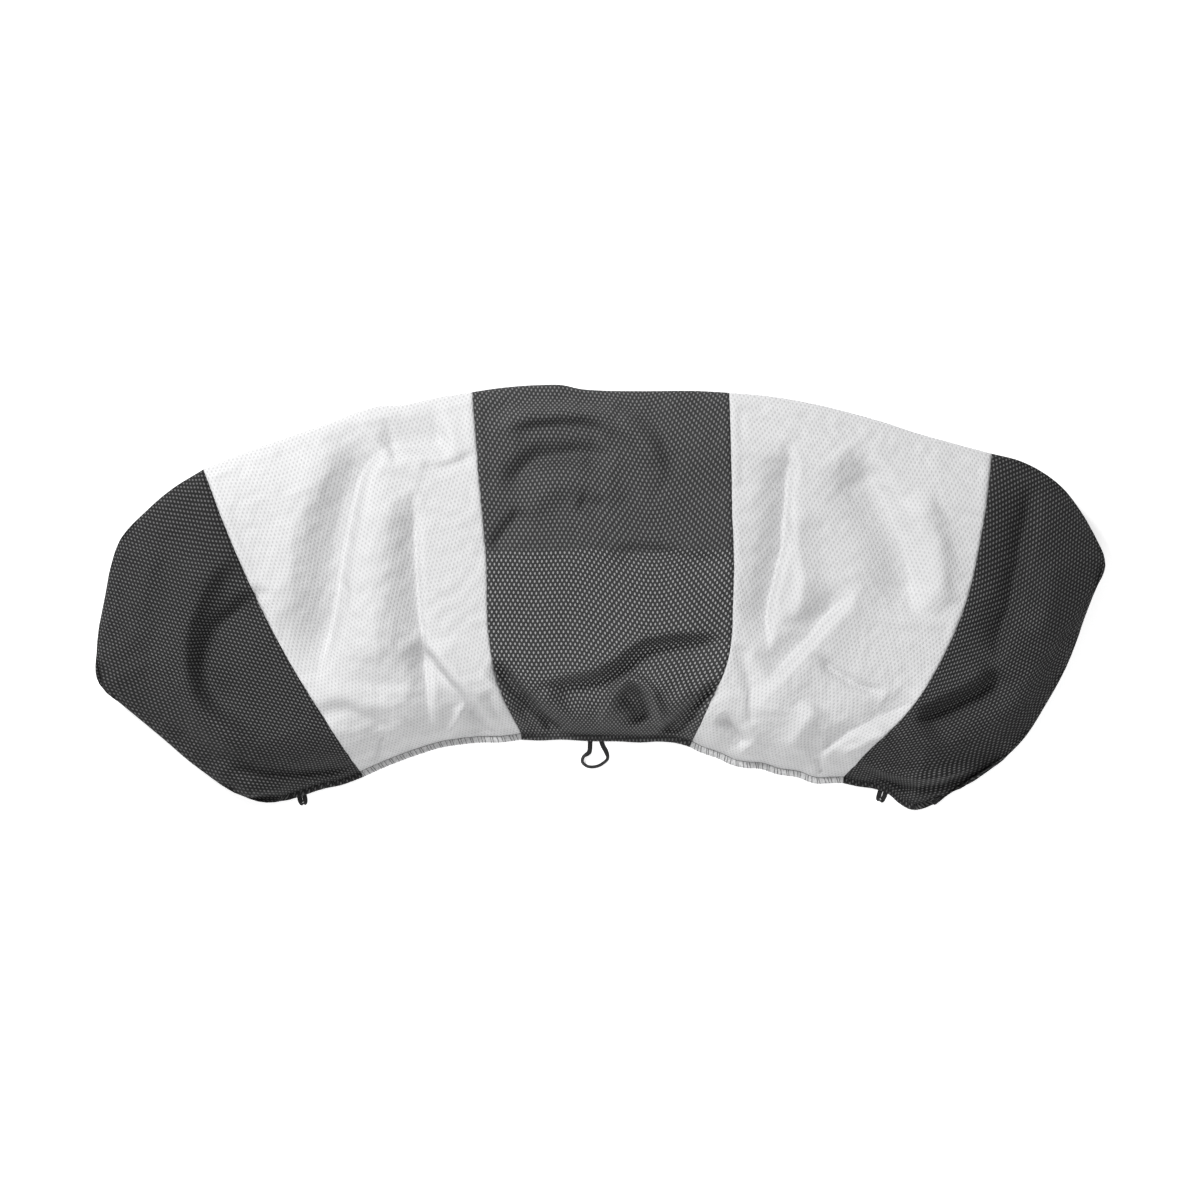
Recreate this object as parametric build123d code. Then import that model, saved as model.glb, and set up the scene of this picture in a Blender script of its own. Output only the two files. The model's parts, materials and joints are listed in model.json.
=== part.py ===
"""An elasticated striped mesh cover (fly sheet) lying face up with its mouth down, in millimetres.

Five strips of fly mesh are sewn side by side into a puffed crescent cap. The whole edge of the cap is one
hem that holds a flat elastic: its front lip shows along the lower side, and its back lip is tucked under.
Three small loops of flat elastic are sewn under the front lip, and each swings on the hem's free edge.
+X runs along the cover, +Y from the front lip to the crown fold, +Z up, with the resting plane at z = 0.
"""

import os
from math import hypot

from build123d import *

# The cap
CLOTH = 1.2  # one layer of mesh with its loft
CROWN_HEIGHT = 80.0  # highest point of the puffed cap
RIM_HEIGHT = 17.0  # height at which the cap spreads widest
FOOT_INSET = 9.0  # the crown fold and the ends roll in by this much where they meet the table
RIM_LEAN = 7.0  # the front wall leans in by this much between the hem and the rim's height
SLICES = [(42.0, 0.88), (61.0, 0.69), (73.0, 0.46), (CROWN_HEIGHT, 0.2)]  # height, share of the rim's spread

# The hem and the rows of thread
HEM_WIDTH = 7.6
HEM_HEIGHT = 3.6
CHANNEL_FLOOR = 1.4  # cloth under the elastic
ELASTIC_WIDTH = 5.0
ELASTIC_THICKNESS = 1.0
CHANNEL_GAP = 0.15  # room round the elastic on every side
THREAD = 0.4  # height of a stitched row
OVERLOCK_WIDTH = 4.4  # stitched row along the hem
SEAM_WIDTH = 6.0  # sewn seam allowance on the inside of the cap
SEAM_THICKNESS = 0.8
LAP_LENGTH = 18.0  # where the ends of the elastic overlap and are stitched

# The loops
RIBBON_WIDTH = 5.0
RIBBON_THICKNESS = 0.9
EDGE_THICKNESS = 1.2  # ribbon that stands on its edge
HINGE_OUT = 0.9  # from the hem's free edge to the line that the centre loop swings on
SHORT_HINGE_OUT = 1.7  # the same for the two short loops, whose hem is bowed
TAIL_LENGTH = 5.4  # ribbon sewn under the hem
TAIL_GAP = 0.05  # between a tail and its recess

# Outline of the crown and the two ends, clockwise from the left end of the front lip to its right end
CROWN_OUTLINE = [
    (-331, -204.5),
    (-376, -192.5),
    (-421, -159.5),
    (-462, -115.5),
    (-500, -70),
    (-504, -40),
    (-494, 9.5),
    (-482, 51.5),
    (-441, 99.5),
    (-396, 129.5),
    (-301, 164.5),
    (-216, 190.0),
    (-128, 206.5),
    (-56, 213.5),
    (-11, 209.5),
    (99, 207.5),
    (179, 202.5),
    (279, 181.5),
    (390, 143.5),
    (449, 115.5),
    (489, 69.5),
    (504, 37.5),
    (484, -25.5),
    (459, -90.5),
    (427, -135.5),
    (368, -181.0),
]
# Centre line of the back lip's hem, tucked under the cap, from left to right
BACK_LIP = [
    (-337, -196.0),
    (-378, -181.0),
    (-418, -149.0),
    (-450, -108.0),
    (-462, -60.0),
    (-440, -14.0),
    (-385, 20.0),
    (-300, 40.0),
    (-200, 50.0),
    (-90, 53.0),
    (20, 53.0),
    (130, 53.0),
    (240, 48.0),
    (340, 36.0),
    (420, 14.0),
    (458, -25.0),
    (448, -76.0),
    (417, -121.0),
    (366, -167.0),
]
# Centre line of the front lip's hem, from right to left
FRONT_LIP = [
    (314, -205.5),
    (284, -187.0),
    (244, -179.5),
    (189, -171.5),
    (139, -161.5),
    (112, -148.5),
    (89, -139.5),
    (39, -135.5),
    (-11, -137.5),
    (-80, -135.5),
    (-151, -148.5),
    (-211, -164.5),
    (-261, -181.0),
    (-300, -192.5),
]
# Plan lines of the four seams, from beyond the crown to beyond the front lip
SEAMS = [
    [(-420, 180), (-396, 130), (-356, 30), (-311, -60), (-271, -125), (-241, -177), (-225, -215)],
    [(-133, 250), (-128, 207), (-121, 120), (-114, 40), (-111, -40), (-101, -90), (-80, -140), (-74, -175)],
    [(126, 250), (128, 205), (130, 100), (131, 0), (126, -60), (105, -115), (91, -143), (84, -175)],
    [(400, 190), (390, 144), (379, 70), (364, 0), (339, -60), (304, -115), (269, -150), (244, -184), (232, -220)],
]
PANEL_NAMES = ["left_end_panel", "left_panel", "centre_panel", "right_panel", "right_end_panel"]

# The centre loop: two flat legs, and the ribbon between them standing on its edge
CENTRE_LEGS = [[(-11, -143), (-11, -150), (-12, -157)], [(-1, -143), (2, -150), (6, -157)]]
CENTRE_EYE = [(-13, -155), (-17, -158), (-18, -163), (-14.5, -167.5), (-5, -168), (3, -164), (7.5, -159), (6, -155)]
# The two short loops: where each leaves the hem, and how far it reaches
SHORT_LOOPS = {"left_loop": ((-302, -193.2), 9.5), "right_loop": ((286, -188.0), 11.5)}
SHORT_LOOP_WIDTH = 10.6
SHORT_LOOP_SLIT = 0.6

nodes = {}


def outward(points):
    """The unit normal at each point of a closed clockwise outline, pointing out of it."""
    normals = []
    for i in range(len(points)):
        x0, y0 = points[i - 1]
        x1, y1 = points[(i + 1) % len(points)]
        length = hypot(x1 - x0, y1 - y0)
        normals.append(((y0 - y1) / length, (x1 - x0) / length))
    return normals


def grown(points, distance):
    """The closed outline moved out by distance, or in where it is negative."""
    return [
        (x + nx * distance, y + ny * distance)
        for (x, y), (nx, ny) in zip(points, outward(points))
    ]


def span(start, end, start_normal, end_normal, z):
    """One smooth span of an outline, square to the normals at its two ends."""
    (x0, y0), (x1, y1) = start, end
    (a0, b0), (a1, b1) = start_normal, end_normal
    reach = hypot(x1 - x0, y1 - y0) / 3
    return Bezier(
        (x0, y0, z),
        (x0 + b0 * reach, y0 - a0 * reach, z),
        (x1 - b1 * reach, y1 + a1 * reach, z),
        (x1, y1, z),
    )


def closed_wire(points, z):
    """A smooth closed outline through the points."""
    normals = outward(points)
    return Wire([span(points[i - 1], points[i], normals[i - 1], normals[i], z) for i in range(len(points))])


def plate(points, z, height):
    """The area inside a closed outline, standing from z up by height."""
    return extrude(Face(closed_wire(points, z)), amount=height, dir=(0, 0, 1))


def ring(points, half_width, z, height):
    """A band that runs along a closed line, half_width to each side of it."""
    return plate(grown(points, half_width), z, height) - plate(grown(points, -half_width), z, height)


def strip(points, width, z, height):
    """A band of even width along an open line."""
    ends = [points[0], *points, points[-1]]
    sides = [[], []]
    for i in range(len(points)):
        (x0, y0), (x1, y1) = ends[i], ends[i + 2]
        length = hypot(x1 - x0, y1 - y0)
        nx, ny = (y0 - y1) / length * width / 2, (x1 - x0) / length * width / 2
        sides[0].append((points[i][0] + nx, points[i][1] + ny, z))
        sides[1].append((points[i][0] - nx, points[i][1] - ny, z))
    left, right = Spline(*sides[0]), Spline(*sides[1])
    outline = Wire([left, Line(left @ 1, right @ 1), right, Line(right @ 0, left @ 0)])
    return extrude(Face(outline), amount=height, dir=(0, 0, 1))


def spine_point(x):
    """The cap's ridge in plan: an arched line that the slices shrink towards."""
    x = max(-385.0, min(390.0, x * 0.86))
    return x, 62.0 - 0.00058 * x * x


def cap(inset):
    """The puffed cap as a full solid, with its surface moved in by inset on every side."""
    lip = grown(BACK_LIP + FRONT_LIP, CLOTH - HEM_WIDTH / 2)[len(BACK_LIP) :]
    outline = CROWN_OUTLINE + lip
    rolled = grown(outline, -inset - FOOT_INSET)[: len(CROWN_OUTLINE)]
    foot = rolled + grown(outline, -inset)[len(CROWN_OUTLINE) :]
    rim = grown(CROWN_OUTLINE + [(x, y + RIM_LEAN) for x, y in lip], -inset)
    slices = [closed_wire(foot, inset), closed_wire(rim, RIM_HEIGHT)]
    for height, spread in SLICES:
        points = []
        for x, y in rim:
            sx, sy = spine_point(x)
            points.append((sx + (x - sx) * spread, sy + (y - sy) * spread))
        slices.append(closed_wire(points, height - inset))
    return Solid.make_loft(slices)


def seam_line(seam, shift=0.0):
    """A seam's plan line, moved by shift towards +X."""
    return Spline(*[(x + shift, y, -10) for x, y in seam])


def block(left, right):
    """Everything between two plan lines that both run from the crown to the front lip."""
    outline = Wire([left, Line(left @ 1, right @ 1), right, Line(right @ 0, left @ 0)])
    return extrude(Face(outline), amount=CROWN_HEIGHT + 20, dir=(0, 0, 1))


def box(low, high):
    """A block between two corners."""
    size = [b - a for a, b in zip(low, high)]
    centre = [(a + b) / 2 for a, b in zip(low, high)]
    return Pos(*centre) * Box(*size)


def make_hem():
    """The hem's sleeve, hollow along its whole length, and the elastic and its lap stitches inside it."""
    line = BACK_LIP + FRONT_LIP
    room = ELASTIC_THICKNESS + THREAD + 2 * CHANNEL_GAP
    channel = ring(line, ELASTIC_WIDTH / 2 + CHANNEL_GAP, CHANNEL_FLOOR, room)
    sleeve = ring(line, HEM_WIDTH / 2, 0, HEM_HEIGHT)
    elastic_floor = CHANNEL_FLOOR + CHANNEL_GAP
    nodes["hem_elastic"] = ring(line, ELASTIC_WIDTH / 2, elastic_floor, ELASTIC_THICKNESS)
    lap_x, lap_y = BACK_LIP[10]
    top = elastic_floor + ELASTIC_THICKNESS
    nodes["elastic_lap_stitches"] = box(
        (lap_x - LAP_LENGTH / 2, lap_y - ELASTIC_WIDTH / 2 + 0.5, top),
        (lap_x + LAP_LENGTH / 2, lap_y + ELASTIC_WIDTH / 2 - 0.5, top + THREAD),
    )
    return sleeve, channel


def make_loops():
    """The three loops with their sewn tails and bar tacks. Returns the recesses for the tails."""
    recesses = []
    free_edge = FRONT_LIP[8][1] - HEM_WIDTH / 2
    legs = [strip(leg, RIBBON_WIDTH, 0, RIBBON_THICKNESS) for leg in CENTRE_LEGS]
    eye = strip(CENTRE_EYE, EDGE_THICKNESS, 0, RIBBON_WIDTH)
    swing_room = box((-40, free_edge - HINGE_OUT, -1), (40, free_edge + 20, 10))
    nodes["centre_loop"] = legs[0] + legs[1] + eye - swing_room
    tails, tacks = [], []
    for leg in CENTRE_LEGS:
        x = leg[0][0]
        half = RIBBON_WIDTH / 2
        deep = free_edge + TAIL_LENGTH
        tails.append(box((x - half + 0.3, free_edge + 0.3, 0), (x + half - 0.3, deep, RIBBON_THICKNESS)))
        recesses.append(
            box(
                (x - half + 0.3 - TAIL_GAP, free_edge - 2, -1),
                (x + half - 0.3 + TAIL_GAP, deep + TAIL_GAP, RIBBON_THICKNESS + TAIL_GAP),
            )
        )
        tack_floor = HEM_HEIGHT + THREAD
        tack_y = FRONT_LIP[8][1]
        tacks.append(box((x - half, tack_y - 1, tack_floor), (x + half, tack_y + 1, tack_floor + THREAD)))
    nodes["centre_loop_tails"] = tails
    nodes["centre_loop_bar_tacks"] = tacks
    for name, ((x, y), reach) in SHORT_LOOPS.items():
        recesses.append(make_short_loop(name, x, y, reach))
    return recesses


def make_short_loop(name, x, y, reach):
    """A short loop with its two legs side by side, square to the hem at (x, y). Returns the tail's recess."""
    line = BACK_LIP + FRONT_LIP
    nearest = min(range(len(line)), key=lambda i: hypot(line[i][0] - x, line[i][1] - y))
    nx, ny = outward(line)[nearest]
    turned = Plane(origin=(x, y, 0), x_dir=(-ny, nx, 0), z_dir=(0, 0, 1))
    start = HEM_WIDTH / 2 + SHORT_HINGE_OUT
    half = SHORT_LOOP_WIDTH / 2
    slit = SHORT_LOOP_SLIT / 2
    loop = box((-half, -start - reach, 0), (half, -start, RIBBON_THICKNESS))
    loop = fillet(loop.edges().filter_by(Axis.Z).group_by(Axis.Y)[0], radius=3.6)
    loop -= box((-slit, -start - reach + RIBBON_WIDTH, -1), (slit, -start + 1, 5))
    hem_edge = -HEM_WIDTH / 2
    tail = box((-half + 0.3, hem_edge + 0.3, 0), (half - 0.3, hem_edge + TAIL_LENGTH, RIBBON_THICKNESS))
    recess = box(
        (-half + 0.3 - TAIL_GAP, hem_edge - 2, -1),
        (half - 0.3 + TAIL_GAP, hem_edge + TAIL_LENGTH + TAIL_GAP, RIBBON_THICKNESS + TAIL_GAP),
    )
    tack_floor = HEM_HEIGHT + THREAD
    tack = box((-half + 0.5, -1, tack_floor), (half - 0.5, 1, tack_floor + THREAD))
    nodes[name] = turned.location * loop
    nodes[name + "_tail"] = turned.location * tail
    nodes[name + "_bar_tack"] = turned.location * tack
    return turned.location * recess


def make_panels(sleeve, channel, recesses):
    """The cap's wall and its hem, cut along the seams into the five sewn strips."""
    line = BACK_LIP + FRONT_LIP
    skin, lining = cap(CLOTH), cap(CLOTH + SEAM_THICKNESS)
    mouth = plate(line, -1, 1 + HEM_HEIGHT)
    wall = cap(0) - skin - mouth
    nodes["hem_overlock_stitches"] = ring(line, OVERLOCK_WIDTH / 2, HEM_HEIGHT, THREAD) - wall
    body = wall + sleeve - channel
    for recess in recesses:
        body -= recess
    far_left, far_right = [(-620, 300), (-620, -300)], [(620, 300), (620, -300)]
    lines = [far_left, *SEAMS, far_right]
    for name, left, right in zip(PANEL_NAMES, lines, lines[1:]):
        nodes[name] = body & block(seam_line(left), seam_line(right))
    hem_room = plate(grown(line, HEM_WIDTH / 2 + 0.2), -1, 1 + HEM_HEIGHT + 2 * THREAD + 0.2)
    allowance = skin - lining - hem_room
    for number, seam in enumerate(SEAMS, 1):
        half = SEAM_WIDTH / 2
        nodes[f"seam_{number}_overlock"] = allowance & block(seam_line(seam, -half), seam_line(seam, half))


def whole_solids(shapes):
    """The solids of a node, without crumbs that a cut may leave."""
    parts = shapes if isinstance(shapes, list) else [shapes]
    return [s for part in parts for s in part.solids() if s.volume > 1.0]


sleeve, channel = make_hem()
make_panels(sleeve, channel, make_loops())

solids = {name: whole_solids(shapes) for name, shapes in nodes.items()}
bounds = Compound([s for group in solids.values() for s in group]).bounding_box()
centring = Location((-bounds.center().X, -bounds.center().Y, -bounds.min.Z))
print("overall size", bounds.size, "moved by", centring.position)

os.makedirs("parts", exist_ok=True)
for name, group in solids.items():
    whole = group[0] if len(group) == 1 else Compound(group)
    export_step(whole.moved(centring), f"parts/{name}.step")
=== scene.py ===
"""The striped mesh cover: its cloth, hem, thread and elastic loops, with a floor, lights and a camera.

The model is in metres in the CAD frame. The lists of points below are in millimetres in that frame.
"""

import json
from collections import namedtuple
from math import pi

import bpy
import numpy as np
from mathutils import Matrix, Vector


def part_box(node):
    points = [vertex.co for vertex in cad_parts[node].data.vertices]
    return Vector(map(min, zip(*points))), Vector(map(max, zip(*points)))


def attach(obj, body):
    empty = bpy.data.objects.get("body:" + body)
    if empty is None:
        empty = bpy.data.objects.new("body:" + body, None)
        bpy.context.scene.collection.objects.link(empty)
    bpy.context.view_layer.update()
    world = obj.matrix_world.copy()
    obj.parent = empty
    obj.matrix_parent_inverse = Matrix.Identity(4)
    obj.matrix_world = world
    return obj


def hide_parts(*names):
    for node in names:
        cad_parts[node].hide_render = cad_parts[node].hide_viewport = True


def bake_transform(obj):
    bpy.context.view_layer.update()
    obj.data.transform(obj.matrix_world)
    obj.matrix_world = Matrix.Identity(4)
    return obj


MM = 0.001
UP = np.array([0.0, 0.0, 1.0])

# The strips from left to right: the colour and look of the mesh, how many columns of the grid it takes, and
# how it was cut: its greatest width and length, and its area
Panel = namedtuple("Panel", "name node colour look columns cut area")
PANELS = [
    # The end strips take a darker copy of the black mesh look: painted shade.
    Panel("left_end_cloth", "left_end_panel", "black", "painted_shade_black", 78, (0.40, 0.52), 0.092),
    Panel("left_cloth", "left_panel", "white", "white", 96, (0.285, 0.60), 0.137),
    Panel("centre_cloth", "centre_panel", "black", "black", 92, (0.265, 0.61), 0.149),
    Panel("right_cloth", "right_panel", "white", "white", 96, (0.28, 0.61), 0.141),
    Panel("right_end_cloth", "right_end_panel", "black", "painted_shade_black", 78, (0.40, 0.53), 0.087),
]
FRONT_ROWS = 118  # rows of the grid from the front hem to the widest line
ROLL_ROWS = 8  # rows from there down to the foot
BACK_ROWS = 46  # rows from the foot to the back hem

# Middle of the front hem, from the left corner to the right, one list for each panel
FRONT_HEM = [
    [(-319, -201), (-301, -195.4), (-281, -188.8), (-261, -184.4), (-241, -177)],
    [(-241, -177), (-221, -168), (-201, -160), (-181, -153), (-161, -147), (-141, -143.9), (-121, -141.9),
     (-101, -141.7), (-80, -139)],
    [(-80, -139), (-61, -139.8), (-41, -138.9), (-11, -140.6), (19, -140.8), (39, -141.8), (59, -140.9),
     (79, -143), (91, -146.5)],
    [(91, -146.5), (99, -150.8), (119, -158), (136, -165.5), (148, -167.6), (160, -168.2), (179, -174),
     (199, -177), (217, -183.2), (230, -182.8), (244, -182.6)],
    [(244, -182.6), (259, -186), (276, -188.5), (292, -194.5), (303, -204), (314, -209.5), (326, -207.5),
     (334, -203)],
]
# Middle of the back hem, tucked under the cover
BACK_HEM = [
    [(-319, -201), (-337, -200), (-378, -183), (-418, -151), (-450, -110), (-462, -62), (-440, -16),
     (-385, 18), (-356, 28)],
    [(-356, 28), (-300, 38), (-200, 48), (-115, 50.9)],
    [(-115, 50.9), (-90, 51), (20, 51), (130.5, 51)],
    [(130.5, 51), (240, 46), (340, 34), (371, 27)],
    [(371, 27), (420, 12), (458, -27), (448, -78), (417, -123), (366, -169), (334, -203)],
]
# Widest line of the cover, round the left end, along the crown fold and round the right end
RIM = [
    [(-322, -204.5), (-335, -206.5), (-361, -197.6), (-401, -171.6), (-441, -138), (-478, -107.5),
     (-496, -93), (-502, -84), (-504.5, -73), (-504, -60), (-501.5, -33), (-495, 0), (-489, 30), (-480, 56),
     (-452, 87), (-430, 106), (-396, 127.5)],
    [(-396, 127.5), (-361, 142), (-301, 163.4), (-261, 177.4), (-236, 187), (-221, 190.4), (-201, 191.4),
     (-161, 199.4), (-128, 204.5)],
    [(-128, 204.5), (-101, 208.4), (-61, 211.4), (-38, 211.3), (-21, 207.6), (-1, 206), (39, 205.4),
     (99, 205.4), (128, 203.8)],
    [(128, 203.8), (159, 201.4), (199, 195.4), (239, 186.4), (279, 175.4), (319, 162.4), (359, 151.4),
     (390, 143)],
    [(390, 143), (419, 135.4), (439, 125.4), (459, 110.4), (479, 85), (495, 57), (502, 42), (503.5, 34),
     (502, 25), (496, 12), (484, -18), (474, -48), (461, -78), (444, -108), (425, -138), (394, -168),
     (369, -183), (350, -197), (336, -208.5)],
]
# The four seams on the upper layer, from the front hem to the rim
SEAMS = [
    [(-241, -177), (-271, -127), (-311, -62), (-356, 28), (-396, 127.5)],
    [(-80, -139), (-101, -92), (-111, -42), (-114, 38), (-121, 118), (-128, 204.5)],
    [(91, -146.5), (104, -117), (126, -62), (131, -2), (130, 100), (128, 203.8)],
    [(244, -182.6), (269, -152), (304, -117), (339, -62), (364, -2), (379, 68), (390, 143)],
]

CROWN = 61 * MM  # height of the puffed middle
RIM_HEIGHT = 31 * MM  # height of the widest line at the ends
FOLD_HEIGHT = 43 * MM  # its height along the crown fold
CORNER_HEIGHT = 2.5 * MM  # its height at the two corners
LOWEST, HIGHEST = 2.2 * MM, 79 * MM  # limits of the upper layer's height
UNDER = 0.8 * MM  # height of the lower layer
FOOT_INSET = 9 * MM  # how far in from the widest line the cover stands on the floor
SHOULDER = 60 * MM  # how far in from the outline the cover goes on rising
TUCK = 4.5 * MM  # depth of the tucks in the back wall
CLOTH = 0.9 * MM
FOLD_DEPTH = 1.3  # how deep the folds in the list below lie in the slack cloth, as a factor on their heights
FLAT_PITCH = (4.31 * MM, 3.94 * MM)  # of the eyes in the mesh, across and along the cloth
EYE = (0.21, 0.38)  # half width and half height of an eye, as shares of the pitch

# Cross-section of the front hem, from the turned raw edge to the needle line: offset outwards, height
HEM_SECTION = [(-3.3, 0.95), (-1.6, 0.8), (0.8, 0.8), (2.6, 0.85), (3.55, 1.25), (3.8, 1.95), (3.5, 2.65)]
HEM_SECTION += [(2.5, 3.0), (0.6, 3.1), (-1.2, 3.05), (-2.2, 2.9)]
HEM_TURNOVER = 3.95  # the back hem is the front one upside down: its heights are this less the front's
HEM_TOP = 3.9 * MM  # height of the bar tacks that cross the hem, where it lies flat
TACK_STATION = 300 * MM  # the place along the wavy hem whose lift they all take
TACK_THREAD = 0.19 * MM  # radius of their thread
ELASTIC_HEIGHT = 1.95 * MM
RING_ENDS = slice(5, -5)  # the columns along which the hem elastic runs, short of the corners
CORNER_SHARES = (0.93, 0.76, 0.5, 0.26, 0.09)  # how far each column from a corner is drawn in to it

# Way of the overlock thread round the hem, from the needle line to the underside: offset outwards, height
OVERLOCK_SECTION = [(-2.3, 3.5), (-1.0, 3.75), (0.8, 3.8), (2.6, 3.68), (3.7, 3.2), (4.4, 2.1), (3.9, 1.0)]
OVERLOCK_SECTION += [(2.6, 0.35)]
OVERLOCK_PITCH = 4.0 * MM
SEAM_PITCH = 2.4 * MM
SEAM_HALF = 2.6 * MM  # half the width of a seam's thread

# Cross-section of an elastic ribbon with two soft ribs, as shares of half its width and half its thickness
RIBBON_SECTION = [(-1, -0.35), (-0.93, 0.85), (-0.6, 1), (-0.2, 0.9), (0.2, 1), (0.6, 0.9), (0.93, 0.85)]
RIBBON_SECTION += [(1, -0.35), (0.93, -0.85), (0.6, -1), (0.2, -0.9), (-0.2, -1), (-0.6, -0.9)]
RIBBON_SECTION += [(-0.93, -0.85)]

SETTLE_STEPS = 26  # frames of the cloth simulation

# Looks of the mesh: name of the material, colour of the yarn, of its light side and of an eye, how opaque an
# eye is, and how rough the yarn. An eye's colour is painted light: on the black looks it stands for the lit
# floor seen through the hole, on the white look it is painted shade.
MESH_LOOKS = {
    "black": ("black_mesh", (0.0215, 0.0215, 0.022), (0.048, 0.048, 0.049), (0.31, 0.31, 0.311), 0.52, 0.85),
    # A copy of the black look with darker yarn and dimmer, more opaque eyes: painted shade on the end strips.
    "painted_shade_black": (
        "black_mesh_painted_shade", (0.0095, 0.0095, 0.0098), (0.0235, 0.0235, 0.024), (0.15, 0.15, 0.151), 0.78, 0.85
    ),
    "white": ("white_mesh", (0.58, 0.58, 0.585), (0.68, 0.68, 0.685), (0.575, 0.575, 0.58), 0.88, 0.66),
}

FLOOR_REACH = 6  # half the width of the floor
CAMERA_DISTANCE = 4.5

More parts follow.
